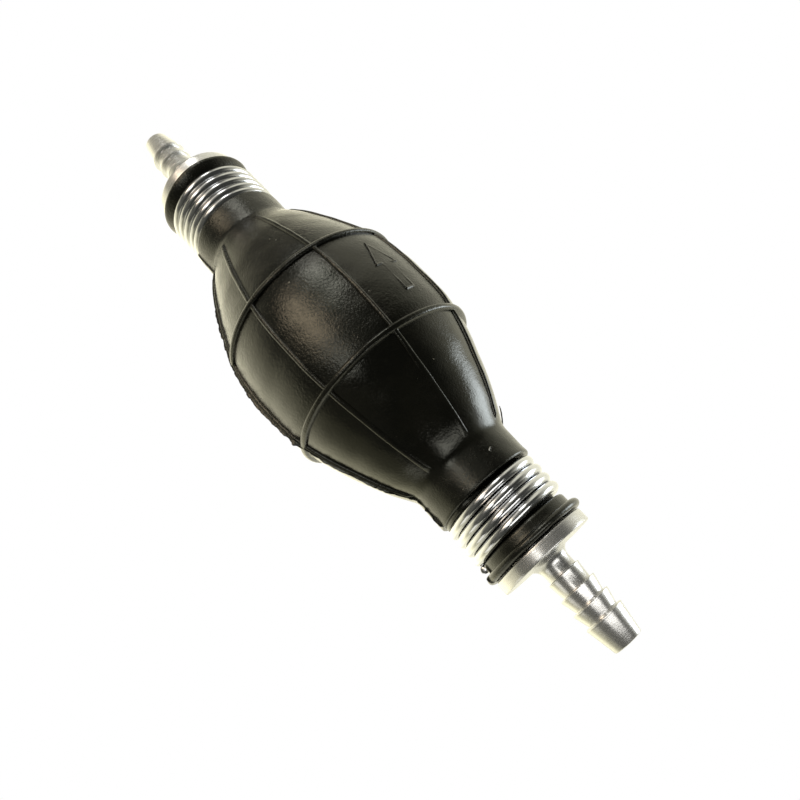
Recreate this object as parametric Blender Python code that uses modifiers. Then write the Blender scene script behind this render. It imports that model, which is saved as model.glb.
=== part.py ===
"""Hand primer (siphon bulb) pump: rubber squeeze bulb with a check valve and a
hose barb at each end.  Metres, +Z up, flow along +X.  Inlet at -X, outlet at +X.
Run with:  blender --background --python part.py
"""
import math

import bmesh
import bpy
from mathutils import Matrix, Vector

# ------------------------------------------------------------------ dimensions
MM = 0.001

HALF_LENGTH = 82.5          # centre to hose tip
AXIS_Z = 24.4               # height of the pump's axis: largest radius, so it lies on z = 0

# rubber bulb, outer side, from the middle out: (distance from the middle, radius)
BARREL = [(0.0, 23.35), (4.5, 23.2), (8.8, 22.75), (11.7, 22.15)]
RING_AT, RING_HALF, RING_R = 12.86, 0.78, 23.1
CONE = [(14.1, 21.4), (19.0, 19.65), (25.0, 17.25), (31.0, 14.55), (36.1, 11.9)]
COLLAR_R, COLLAR_END = 11.9, 44.1
CLAMP_SEAT_R, CLAMP_SEAT_END = 9.1, 54.6
SLEEVE_R = 10.3
BEAD_FROM, BEAD_R, BULB_END = 57.1, 12.2, 58.55
# rubber bulb, inner side
CAVITY = [(36.9, 8.4), (31.0, 11.6), (25.0, 14.4), (19.0, 16.8), (12.5, 19.0),
          (6.0, 20.2), (0.0, 20.5)]
NECK_BORE_R = 7.6
RIBS, RIB_WIDTH, RIB_PROUD = 8, 1.0, 1.05

# squeeze panels: upper and lower areas of the bulb's wall
PANEL_X, PANEL_Y, PANEL_GAP = 27.0, 16.5, 0.3

# turned aluminium fitting
FLANGE_R, FLANGE_IN, FLANGE_OUT = 11.0, 58.85, 61.65
BARB_BORE_R = 2.2
STEM_R = 3.25
TEETH = [(65.8, 3.85), (69.45, 4.3), (72.85, 4.38), (76.25, 4.43)]   # (crest, radius)
TOOTH_ROOT_R = 3.45
TIP_R = 3.3
SPIGOT_R, SPIGOT_END = 7.3, 39.0
CHAMBER_R, POCKET_R = 4.9, 5.3
GROOVE_R = 6.0

# wire clamp
WIRE_R, CLAMP_TURNS, CLAMP_PITCH = 1.05, 4, 2.34
CLAMP_FIRST = 45.8          # centre of the first turn
CLAMP_MEAN_R = 10.5

# check valves
SEAL_MAJOR, SEAL_MINOR = 3.4, 0.7
STEM_ROD_R = 1.2
SPRING_WIRE_R, SPRING_MEAN_R, SPRING_TURNS = 0.3, 2.3, 5

BULB_STEPS = 40             # steps around the bulb
ROUND = 32                  # steps around the fittings
SMALL = 20                  # steps around the small pieces

# ----------------------------------------------------------------------- scene
for old in list(bpy.data.objects):
    bpy.data.objects.remove(old, do_unlink=True)

PARTS = bpy.data.collections.new("siphon_bulb_pump")
CUTTERS = bpy.data.collections.new("cutters")
bpy.context.scene.collection.children.link(PARTS)
bpy.context.scene.collection.children.link(CUTTERS)


def material(name, colour, roughness, metallic):
    mat = bpy.data.materials.new(name)
    mat.use_nodes = True
    shader = mat.node_tree.nodes["Principled BSDF"]
    shader.inputs["Base Color"].default_value = (*colour, 1.0)
    shader.inputs["Roughness"].default_value = roughness
    shader.inputs["Metallic"].default_value = metallic
    return mat


RUBBER = ((0.018, 0.018, 0.018), 0.5, 0.0)
ALUMINIUM = ((0.80, 0.81, 0.82), 0.28, 1.0)
ZINC = ((0.82, 0.83, 0.84), 0.2, 1.0)
STEEL = ((0.62, 0.63, 0.64), 0.25, 1.0)
ACETAL = ((0.86, 0.86, 0.83), 0.4, 0.0)
NITRILE = ((0.02, 0.02, 0.02), 0.55, 0.0)


def finish(obj, name, look, collection=PARTS):
    obj.name = name
    obj.data.name = name
    obj.data.materials.clear()
    obj.data.materials.append(material(name, *look))
    for face in obj.data.polygons:
        face.use_smooth = True
    obj.data.set_sharp_from_angle(angle=math.radians(32))
    if obj.name not in collection.objects:
        collection.objects.link(obj)
    return obj


def hide(obj):
    obj.display_type = "WIRE"
    obj.hide_render = True
    return obj


def turned(name, profile, steps, side=1, collection=PARTS, shut=True):
    """Turn a profile of (distance along the axis, radius) points, in mm.

    The profile runs along the outer side from the far end to the near end, then
    back along the inner side.  side is the end of the pump: +1 outlet, -1 inlet.
    """
    mesh = bpy.data.meshes.new(name)
    verts = [(r * MM, 0.0, u * MM) for u, r in profile]
    edges = [(i, i + 1) for i in range(len(verts) - 1)]
    if shut:
        edges.append((len(verts) - 1, 0))
    mesh.from_pydata(verts, edges, [])
    obj = bpy.data.objects.new(name, mesh)
    collection.objects.link(obj)
    screw = obj.modifiers.new("turn", "SCREW")
    screw.axis = "Z"
    screw.angle = math.tau
    screw.steps = steps
    screw.render_steps = steps
    screw.use_merge_vertices = True
    screw.merge_threshold = 0.00001
    screw.use_smooth_shade = True
    obj.rotation_euler = (0.0, side * math.pi / 2, 0.0)
    obj.location = (0.0, 0.0, AXIS_Z * MM)
    return obj


def baked(obj, name, weld=0.000005, collection=PARTS, cap=False):
    """The evaluated object as a plain mesh in the world frame, open ends capped if asked."""
    bpy.context.view_layer.update()
    graph = bpy.context.evaluated_depsgraph_get()
    mesh = bpy.data.meshes.new_from_object(obj.evaluated_get(graph))
    mesh.transform(obj.matrix_world)
    work = bmesh.new()
    work.from_mesh(mesh)
    bmesh.ops.remove_doubles(work, verts=work.verts, dist=weld)
    if cap:
        bmesh.ops.holes_fill(work, edges=[e for e in work.edges if e.is_boundary], sides=0)
    bmesh.ops.recalc_face_normals(work, faces=work.faces)
    work.to_mesh(mesh)
    work.free()
    new = bpy.data.objects.new(name, mesh)
    collection.objects.link(new)
    bpy.data.objects.remove(obj, do_unlink=True)
    return new


def boolean(obj, other, operation):
    mod = obj.modifiers.new(operation.lower(), "BOOLEAN")
    mod.operation = operation
    mod.solver = "EXACT"
    mod.object = other
    return mod


def move_origin(obj, point_mm):
    """Put the object's origin on a point of the world, leaving its shape in place."""
    point = Vector(point_mm) * MM
    obj.data.transform(Matrix.Translation(-point))
    obj.location = point


def tube(name, points_mm, radius_mm):
    """A wire through the points, with closed ends."""
    curve = bpy.data.curves.new(name, "CURVE")
    curve.dimensions = "3D"
    curve.bevel_depth = radius_mm * MM
    curve.bevel_resolution = 2
    curve.use_fill_caps = True
    spline = curve.splines.new("POLY")
    spline.points.add(len(points_mm) - 1)
    for point, co in zip(spline.points, points_mm):
        point.co = (co[0] * MM, co[1] * MM, co[2] * MM, 1.0)
    obj = bpy.data.objects.new(name, curve)
    PARTS.objects.link(obj)
    return obj


def around(side, u, radius, degrees):
    """World point, in mm, at u from the middle; 0 degrees is +Y and 90 is +Z."""
    a = math.radians(degrees)
    return (side * u, radius * math.cos(a), AXIS_Z + radius * math.sin(a))


def smooth(t):
    t = max(0.0, min(1.0, t))
    return t * t * (3.0 - 2.0 * t)


# ------------------------------------------------------------------ rubber bulb
def bulb_outline():
    half = list(BARREL)
    half += [(RING_AT - RING_HALF, RING_R - 0.35), (RING_AT - 0.35, RING_R),
             (RING_AT + 0.35, RING_R), (RING_AT + RING_HALF, RING_R - 0.35)]
    half += CONE
    half += [(36.4, COLLAR_R), (COLLAR_END - 0.4, COLLAR_R), (COLLAR_END, COLLAR_R - 0.4),
             (COLLAR_END, CLAMP_SEAT_R), (CLAMP_SEAT_END, CLAMP_SEAT_R),
             (CLAMP_SEAT_END, SLEEVE_R), (BEAD_FROM - 0.3, SLEEVE_R),
             (BEAD_FROM, BEAD_R - 0.5), (BEAD_FROM + 0.35, BEAD_R),
             (BULB_END - 0.5, BEAD_R), (BULB_END, BEAD_R - 0.6)]
    outer = [(u, r) for u, r in reversed(half)] + [(-u, r) for u, r in half[1:]]
    inner_half = [(BULB_END, NECK_BORE_R), (38.3, NECK_BORE_R)] + CAVITY
    inner = [(-u, r) for u, r in inner_half] + [(u, r) for u, r in reversed(inner_half[:-1])]
    return outer + inner


def outer_radius(u):
    """Radius of the bulb's smooth outer side, without rings, between the collars."""
    pts = BARREL + CONE
    u = abs(u)
    for (u0, r0), (u1, r1) in zip(pts, pts[1:]):
        if u <= u1:
            return r0 + (r1 - r0) * (u - u0) / (u1 - u0)
    return pts[-1][1]


def rib_blades(name):
    """Eight thin blades along the bulb, as one object, to be joined to it."""
    stations = [-35.6, -31, -25, -19, -13, -8.8, -4.5, 0, 4.5, 8.8, 13, 19, 25, 31, 35.6]
    top = []
    for u in stations:
        end = min(1.0, (36.3 - abs(u)) / 3.0)
        top.append((u, outer_radius(u) + 0.12 + (RIB_PROUD - 0.12) * end))
    bottom = [(u, outer_radius(u) - 0.9) for u in reversed(stations)]
    curve = bpy.data.curves.new(name, "CURVE")
    curve.dimensions = "2D"
    curve.fill_mode = "BOTH"
    curve.extrude = RIB_WIDTH / 2 * MM
    spline = curve.splines.new("POLY")
    outline = top + bottom
    spline.points.add(len(outline) - 1)
    for point, (u, r) in zip(spline.points, outline):
        point.co = (u * MM, r * MM, 0.0, 1.0)
    spline.use_cyclic_u = True
    flat = bpy.data.objects.new(name, curve)
    CUTTERS.objects.link(flat)
    bpy.context.view_layer.update()
    graph = bpy.context.evaluated_depsgraph_get()
    blade = bpy.data.meshes.new_from_object(flat.evaluated_get(graph))
    work = bmesh.new()
    for k in range(RIBS):
        turn = Matrix.Rotation(math.tau * k / RIBS, 4, "X")
        one = blade.copy()
        one.transform(Matrix.Translation((0, 0, AXIS_Z * MM)) @ turn)
        work.from_mesh(one)
        bpy.data.meshes.remove(one)
    bmesh.ops.remove_doubles(work, verts=work.verts, dist=0.000005)
    bmesh.ops.recalc_face_normals(work, faces=work.faces)
    mesh = bpy.data.meshes.new(name)
    work.to_mesh(mesh)
    work.free()
    blade_obj = bpy.data.objects.new(name, mesh)
    CUTTERS.objects.link(blade_obj)
    bpy.data.objects.remove(flat, do_unlink=True)
    return hide(blade_obj)


def oval_cutter(name, half_x, half_y, low, high):
    """An upright oval prism between two heights above the floor, in mm."""
    bpy.ops.mesh.primitive_cylinder_add(vertices=40, radius=1.0, depth=1.0)
    obj = bpy.context.active_object
    for coll in list(obj.users_collection):
        coll.objects.unlink(obj)
    CUTTERS.objects.link(obj)
    obj.name = name
    obj.data.transform(Matrix.Diagonal((half_x * MM, half_y * MM, (high - low) * MM, 1.0)))
    obj.location = (0.0, 0.0, (high + low) / 2 * MM)
    return hide(obj)


# the bulb is turned and ribbed once; the body and both squeeze panels are cut from it
blank = turned("bulb_blank", bulb_outline(), BULB_STEPS, 1)
blank = baked(blank, "bulb_blank")
boolean(blank, rib_blades("rib_blades"), "UNION")
blank = baked(blank, "bulb_blank", collection=CUTTERS)
hide(blank)

window_up = oval_cutter("window_upper", PANEL_X, PANEL_Y, AXIS_Z + 3.0, AXIS_Z + 30.0)
window_low = oval_cutter("window_lower", PANEL_X, PANEL_Y, AXIS_Z - 30.0, AXIS_Z - 3.0)
keep_up = oval_cutter("panel_upper", PANEL_X - PANEL_GAP, PANEL_Y - PANEL_GAP,
                      AXIS_Z + 3.0, AXIS_Z + 30.0)
keep_low = oval_cutter("panel_lower", PANEL_X - PANEL_GAP, PANEL_Y - PANEL_GAP,
                       AXIS_Z - 30.0, AXIS_Z - 3.0)


def copy_of_blank(name):
    obj = bpy.data.objects.new(name, blank.data.copy())
    PARTS.objects.link(obj)
    return obj


body = copy_of_blank("bulb_body")
boolean(body, window_up, "DIFFERENCE")
boolean(body, window_low, "DIFFERENCE")
body = baked(body, "bulb_body")
move_origin(body, (0, 0, AXIS_Z))
finish(body, "bulb_body", RUBBER)

for name, keep, sign in (("bulb_grip_upper", keep_up, 1), ("bulb_grip_lower", keep_low, -1)):
    panel = copy_of_blank(name)
    boolean(panel, keep, "INTERSECT")
    panel = baked(panel, name)
    move_origin(panel, (0, 0, AXIS_Z + sign * 22.0))
    finish(panel, name, RUBBER)


# --------------------------------------------------------------------- fittings
def barb_outline():
    """Outer side of hose barb and flange, from the hose tip to the flange's inner face."""
    pts = [(HALF_LENGTH, TIP_R - 0.15), (HALF_LENGTH - 0.3, TIP_R)]
    for crest, radius in reversed(TEETH):
        pts += [(crest + 0.12, radius), (crest, radius - 0.12), (crest - 0.12, TOOTH_ROOT_R)]
    pts[-1] = (TEETH[0][0] - 0.12, STEM_R)
    pts += [(63.1, STEM_R), (62.3, STEM_R + 0.35), (61.85, STEM_R + 0.95),
            (FLANGE_OUT, STEM_R + 1.8),
            (FLANGE_OUT, FLANGE_R - 0.3), (FLANGE_OUT - 0.3, FLANGE_R),
            (FLANGE_IN + 0.3, FLANGE_R), (FLANGE_IN, FLANGE_R - 0.3),
            (FLANGE_IN, SPIGOT_R), (SPIGOT_END + 0.6, SPIGOT_R), (SPIGOT_END, SPIGOT_R - 0.6)]
    return pts


# inside of the inlet: pocket for guide and ring, chamber, cone seat, hose bore
inlet_inside = [(SPIGOT_END, POCKET_R),
                (43.3, POCKET_R), (43.3, GROOVE_R), (44.6, GROOVE_R), (44.6, POCKET_R),
                (47.1, POCKET_R), (47.1, CHAMBER_R), (56.7, CHAMBER_R),
                (59.4, BARB_BORE_R), (HALF_LENGTH - 0.1, BARB_BORE_R),
                (HALF_LENGTH, BARB_BORE_R + 0.1)]
# inside of the outlet: pocket for the seat insert, chamber, shoulder, hose bore
outlet_inside = [(SPIGOT_END, POCKET_R),
                 (40.9, POCKET_R), (40.9, GROOVE_R), (42.2, GROOVE_R), (42.2, POCKET_R),
                 (46.7, POCKET_R), (46.7, CHAMBER_R), (57.9, CHAMBER_R), (57.9, 3.6),
                 (59.3, BARB_BORE_R), (HALF_LENGTH - 0.1, BARB_BORE_R),
                 (HALF_LENGTH, BARB_BORE_R + 0.1)]

for name, side, inside in (("inlet_fitting", -1, inlet_inside),
                           ("outlet_fitting", 1, outlet_inside)):
    fitting = baked(turned(name, barb_outline() + inside, ROUND, side), name)
    move_origin(fitting, (side * FLANGE_IN, 0, AXIS_Z))
    finish(fitting, name, ALUMINIUM)


# ------------------------------------------------------------------ wire clamps
def clamp_points(side, start, tail):
    """Four flat turns that cross over to the next one underneath, and a short tail."""
    points = []
    total = CLAMP_TURNS * 360
    step = 18
    for a in range(0, total + tail + 1, step):
        turn, part = divmod(a, 360)
        shift = turn + smooth((part - 300) / 60.0)
        radius = CLAMP_MEAN_R
        u = CLAMP_FIRST + CLAMP_PITCH * shift
        if a > total - 60:
            late = (a - total + 60) / 60.0
            u = CLAMP_FIRST + CLAMP_PITCH * (CLAMP_TURNS - 1) + 2.0 * smooth(late)
            radius = CLAMP_MEAN_R + 1.25 * smooth(1.6 * late)
        points.append(around(side, u, radius, start + a * (1 if side < 0 else -1)))
    return points


for name, side, start, tail in (("inlet_clamp", -1, -60, 54), ("outlet_clamp", 1, -60, 36)):
    wire = baked(tube(name, clamp_points(side, start, tail), WIRE_R), name)
    move_origin(wire, (side * 49.4, 0, AXIS_Z))
    finish(wire, name, ZINC)


# ----------------------------------------------------------------- check valves
def seal_ring(name, side, u, major, minor, sides=8):
    pts = []
    for k in range(sides):
        a = math.tau * (k + 0.5) / sides
        pts.append((u - minor * math.sin(a), major + minor * math.cos(a)))
    ring = baked(turned(name, pts, SMALL, side), name)
    move_origin(ring, (side * u, 0, AXIS_Z))
    return finish(ring, name, NITRILE)


def stem_guide(name, side, near, far, rim_r):
    """Rim, hub and three spokes; the poppet's stem runs in the hub."""
    rim = turned(name, [(far, rim_r), (near, rim_r), (near, rim_r - 0.8), (far, rim_r - 0.8)],
                 SMALL, side)
    rim = baked(rim, name)
    hub = baked(turned(name + "_hub", [(far, 2.35), (near, 2.35), (near, STEM_ROD_R + 0.25),
                                       (far, STEM_ROD_R + 0.25)], SMALL, side,
                       collection=CUTTERS), name + "_hub", collection=CUTTERS)
    hide(hub)
    spokes = bpy.data.meshes.new(name + "_spokes")
    work = bmesh.new()
    for k in range(3):
        bar = bmesh.new()
        bmesh.ops.create_cube(bar, size=1.0)
        bmesh.ops.transform(bar, verts=bar.verts, matrix=Matrix.Diagonal(
            ((far - near - 0.4) * MM, (rim_r - 0.4 - 1.9) * MM, 1.1 * MM, 1.0)))
        bmesh.ops.translate(bar, verts=bar.verts, vec=(
            side * (far + near) / 2 * MM, (rim_r - 0.4 + 1.9) / 2 * MM, 0.0))
        bmesh.ops.rotate(bar, verts=bar.verts, cent=(0, 0, 0),
                         matrix=Matrix.Rotation(math.radians(90 + 120 * k), 3, "X"))
        bmesh.ops.translate(bar, verts=bar.verts, vec=(0, 0, AXIS_Z * MM))
        one = bpy.data.meshes.new("bar")
        bar.to_mesh(one)
        bar.free()
        work.from_mesh(one)
        bpy.data.meshes.remove(one)
    work.to_mesh(spokes)
    work.free()
    bars = bpy.data.objects.new(name + "_spokes", spokes)
    CUTTERS.objects.link(bars)
    hide(bars)
    boolean(rim, bars, "UNION")
    boolean(rim, hub, "UNION")
    rim = baked(rim, name)
    move_origin(rim, (side * (near + far) / 2, 0, AXIS_Z))
    return finish(rim, name, ACETAL)


def retaining_ring(name, side, near, far):
    """A split ring in the groove of the spigot's pocket."""
    mid = (near + far) / 2
    obj = turned(name, [(far, 5.75), (near, 5.75), (near, 4.65), (far, 4.65)], 22, side)
    obj.modifiers["turn"].angle = math.radians(310)
    ring = baked(obj, name, cap=True)
    move_origin(ring, (side * mid, 0, AXIS_Z))
    return finish(ring, name, STEEL)


def spring(name, side, low, high):
    """Close-ended coil between two distances from the middle."""
    points = []
    per_turn = 12
    total = SPRING_TURNS * per_turn
    a0, a1 = low + SPRING_WIRE_R, high - SPRING_WIRE_R
    closed = 0.75 * per_turn
    end_rise = 0.72
    for i in range(total + 1):
        if i < closed:
            u = a0 + end_rise * i / closed
        elif i > total - closed:
            u = a1 - end_rise * (total - i) / closed
        else:
            u = a0 + end_rise + (a1 - a0 - 2 * end_rise) * (i - closed) / (total - 2 * closed)
        points.append(around(side, u, SPRING_MEAN_R, 360.0 * i / per_turn))
    wire = baked(tube(name, points, SPRING_WIRE_R), name)
    move_origin(wire, (side * (low + high) / 2, 0, AXIS_Z))
    return finish(wire, name, STEEL)


def poppet(name, side, face, towards):
    """Head with a seal groove; towards is +1 if its sealing face looks away from the middle."""
    along = [(0.0, 0.0), (0.0, 1.75), (0.35, 2.15), (0.7, 2.15), (0.7, 2.4), (2.75, 2.4),
             (2.75, 3.95), (4.05, 3.95), (4.05, 1.9), (4.7, 1.75), (4.7, STEM_ROD_R),
             (13.7, STEM_ROD_R), (14.0, STEM_ROD_R - 0.3), (14.0, 0.0)]
    pts = [(face - towards * d, r) for d, r in along]
    if towards < 0:
        pts.reverse()
    body_ = baked(turned(name, pts, SMALL, side, shut=False), name)
    move_origin(body_, (side * face, 0, AXIS_Z))
    return finish(body_, name, ACETAL)


# inlet: seat on the hose side, so the poppet lifts towards the bulb
poppet("inlet_poppet", -1, 58.5, 1)
seal_ring("inlet_poppet_seal", -1, 56.78, SEAL_MAJOR, SEAL_MINOR)
spring("inlet_valve_spring", -1, 47.2, 54.15)
stem_guide("inlet_stem_guide", -1, 44.9, 46.8, 5.0)
retaining_ring("inlet_retaining_ring", -1, 43.6, 44.4)

# outlet: seat insert on the bulb side, so the poppet lifts towards the hose
poppet("outlet_poppet", 1, 44.5, -1)
seal_ring("outlet_poppet_seal", 1, 46.22, SEAL_MAJOR, SEAL_MINOR)
spring("outlet_valve_spring", 1, 48.85, 55.35)
stem_guide("outlet_stem_guide", 1, 55.7, 57.6, 4.6)
insert = [(46.3, 5.0), (44.4, 5.0), (44.4, 4.1), (42.9, 4.1), (42.9, 5.0), (42.45, 5.0),
          (42.45, 2.6), (42.85, 2.2), (43.6, 2.2), (46.2, 4.8)]
seat = baked(turned("outlet_seat_insert", insert, SMALL, 1), "outlet_seat_insert")
move_origin(seat, (42.45, 0, AXIS_Z))
finish(seat, "outlet_seat_insert", ALUMINIUM)
seal_ring("outlet_insert_seal", 1, 43.65, 4.7, 0.43)
retaining_ring("outlet_retaining_ring", 1, 41.15, 41.95)
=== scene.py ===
"""Looks for the siphon bulb pump: rubber bulb, turned fittings, wire clamps, light, camera."""
import math

import bpy
import numpy as np
from mathutils import Matrix, Vector


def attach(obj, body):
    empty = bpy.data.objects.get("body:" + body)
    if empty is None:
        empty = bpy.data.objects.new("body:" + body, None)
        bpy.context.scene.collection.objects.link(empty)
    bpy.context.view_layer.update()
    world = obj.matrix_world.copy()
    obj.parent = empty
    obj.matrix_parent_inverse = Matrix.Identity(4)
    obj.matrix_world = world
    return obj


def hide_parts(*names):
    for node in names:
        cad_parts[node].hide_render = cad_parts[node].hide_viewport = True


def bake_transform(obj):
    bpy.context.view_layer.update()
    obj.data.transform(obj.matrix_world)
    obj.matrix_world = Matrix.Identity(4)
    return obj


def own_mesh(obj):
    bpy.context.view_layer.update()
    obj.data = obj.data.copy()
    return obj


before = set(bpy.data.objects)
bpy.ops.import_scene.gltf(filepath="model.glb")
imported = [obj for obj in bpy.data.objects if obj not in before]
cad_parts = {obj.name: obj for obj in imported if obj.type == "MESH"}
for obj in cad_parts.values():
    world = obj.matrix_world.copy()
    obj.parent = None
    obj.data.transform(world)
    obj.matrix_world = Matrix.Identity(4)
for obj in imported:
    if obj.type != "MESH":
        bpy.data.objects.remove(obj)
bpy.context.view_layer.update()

MM = 0.001
AXIS = 24.4                      # height of the pump's axis, mm
rng = np.random.RandomState(11)
scene = bpy.context.scene


# ============================================================== small helpers
def smoothstep(a, b, x):
    """0 at a, 1 at b; a may be above b."""
    t = np.clip((np.asarray(x, float) - a) / (b - a), 0.0, 1.0)
    return t * t * (3.0 - 2.0 * t)


def pchip(px, py, x):
    """Shape-keeping cubic through the points."""
    px, py = np.asarray(px, float), np.asarray(py, float)
    h = np.diff(px)
    d = np.diff(py) / h
    m = np.zeros(len(px))
    for i in range(1, len(px) - 1):
        if d[i - 1] * d[i] > 0:
            w1, w2 = 2 * h[i] + h[i - 1], h[i] + 2 * h[i - 1]
            m[i] = (w1 + w2) / (w1 / d[i - 1] + w2 / d[i])
    m[0], m[-1] = 0.0, d[-1]
    x = np.asarray(x, float)
    k = np.clip(np.searchsorted(px, x) - 1, 0, len(h) - 1)
    t = (x - px[k]) / h[k]
    return (py[k] * (1 + 2 * t) * (1 - t) ** 2 + m[k] * h[k] * t * (1 - t) ** 2
            + py[k + 1] * t * t * (3 - 2 * t) + m[k + 1] * h[k] * t * t * (t - 1))


def wobble(x, seed, scale):
    """Smooth 1D noise, about -1..1, with features of the given size."""
    r = np.random.RandomState(seed)
    table = r.uniform(-1, 1, 512)
    p = np.asarray(x, float) / scale + 200.0
    i = np.floor(p).astype(int)
    f = p - i
    f = f * f * (3 - 2 * f)
    return table[i % 512] * (1 - f) + table[(i + 1) % 512] * f


def steps_noise(x, seed, scale):
    """Broken, stepped 1D noise for torn edges."""
    r = np.random.RandomState(seed)
    table = r.uniform(-1, 1, 512)
    p = np.asarray(x, float) / scale + 200.0
    i = np.floor(p).astype(int)
    f = np.clip((p - i - 0.5) * 3.5 + 0.5, 0, 1)
    f = f * f * (3 - 2 * f)
    return table[i % 512] * (1 - f) + table[(i + 1) % 512] * f


def new_object(name, verts_mm, faces, material, sharp=None):
    mesh = bpy.data.meshes.new(name)
    mesh.from_pydata((np.asarray(verts_mm) * MM).tolist(), [], faces)
    mesh.update()
    mesh.shade_smooth()
    if sharp:
        mesh.set_sharp_from_angle(angle=math.radians(sharp))
    obj = bpy.data.objects.new(name, mesh)
    scene.collection.objects.link(obj)
    mesh.materials.append(material)
    return obj


# ================================================================== materials
class Nodes:
    """Short names for building a node tree."""

    def __init__(self, tree):
        self.tree = tree

    def add(self, kind, **props):
        node = self.tree.nodes.new(kind)
        for key, value in props.items():
            setattr(node, key, value)
        return node

    def put(self, node, name, value):
        socket = node.inputs[name]
        if isinstance(value, bpy.types.NodeSocket):
            self.tree.links.new(value, socket)
        else:
            socket.default_value = value

    def math(self, op, a, b=None, c=None, clamp=False):
        node = self.add("ShaderNodeMath", operation=op, use_clamp=clamp)
        for i, v in enumerate((a, b, c)):
            if v is not None:
                self.put(node, i, v)
        return node.outputs[0]

    def ramp01(self, value, low, high, smooth=True):
        """0 at low, 1 at high; low may be above high."""
        node = self.add("ShaderNodeMapRange",
                        interpolation_type="SMOOTHSTEP" if smooth else "LINEAR")
        flip = low > high
        self.put(node, "Value", value)
        node.inputs["From Min"].default_value = min(low, high)
        node.inputs["From Max"].default_value = max(low, high)
        node.inputs["To Min"].default_value = 1.0 if flip else 0.0
        node.inputs["To Max"].default_value = 0.0 if flip else 1.0
        return node.outputs["Result"]

    def span(self, value, low, high, to_low, to_high):
        node = self.add("ShaderNodeMapRange")
        self.put(node, "Value", value)
        node.inputs["From Min"].default_value = low
        node.inputs["From Max"].default_value = high
        node.inputs["To Min"].default_value = to_low
        node.inputs["To Max"].default_value = to_high
        return node.outputs["Result"]

    def mix(self, factor, a, b):
        node = self.add("ShaderNodeMix", data_type="RGBA")
        self.put(node, "Factor", factor)
        for socket, v in ((node.inputs[6], a), (node.inputs[7], b)):
            if isinstance(v, bpy.types.NodeSocket):
                self.tree.links.new(v, socket)
            else:
                socket.default_value = (*v, 1.0) if len(v) == 3 else v
        return node.outputs[2]

    def noise(self, vector, scale, detail=3.0, rough=0.55, distortion=0.0):
        node = self.add("ShaderNodeTexNoise")
        self.put(node, "Vector", vector)
        node.inputs["Scale"].default_value = scale
        node.inputs["Detail"].default_value = detail
        node.inputs["Roughness"].default_value = rough
        node.inputs["Distortion"].default_value = distortion
        return node.outputs["Fac"]

    def cells(self, vector, scale, randomness=1.0):
        node = self.add("ShaderNodeTexVoronoi")
        self.put(node, "Vector", vector)
        node.inputs["Scale"].default_value = scale
        node.inputs["Randomness"].default_value = randomness
        return node.outputs["Distance"]

    def bump(self, height, distance, strength=1.0, normal=None):
        node = self.add("ShaderNodeBump")
        self.put(node, "Height", height)
        node.inputs["Distance"].default_value = distance
        node.inputs["Strength"].default_value = strength
        if normal is not None:
            self.put(node, "Normal", normal)
        return node.outputs["Normal"]


def start_material(name):
    mat = bpy.data.materials.new(name)
    mat.use_nodes = True
    n = Nodes(mat.node_tree)
    shader = mat.node_tree.nodes["Principled BSDF"]
    place = n.add("ShaderNodeTexCoord").outputs["Object"]
    return mat, n, shader, place


def turned_space(n, place):
    """(distance along the axis, distance from it, angle) of a point, in mm and turns."""
    split = n.add("ShaderNodeSeparateXYZ")
    n.put(split, 0, place)
    x = n.math("MULTIPLY", split.outputs[0], 1000.0)
    y = n.math("MULTIPLY", split.outputs[1], 1000.0)
    z = n.math("MULTIPLY_ADD", split.outputs[2], 1000.0, -AXIS)
    rr = n.math("SQRT", n.math("ADD", n.math("MULTIPLY", y, y), n.math("MULTIPLY", z, z)))
    angle = n.math("DIVIDE", n.math("ARCTAN2", z, y), 2 * math.pi)
    return x, rr, angle


def combine(n, a, b, c):
    node = n.add("ShaderNodeCombineXYZ")
    for i, v in enumerate((a, b, c)):
        n.put(node, i, v)
    return node.outputs[0]


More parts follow.
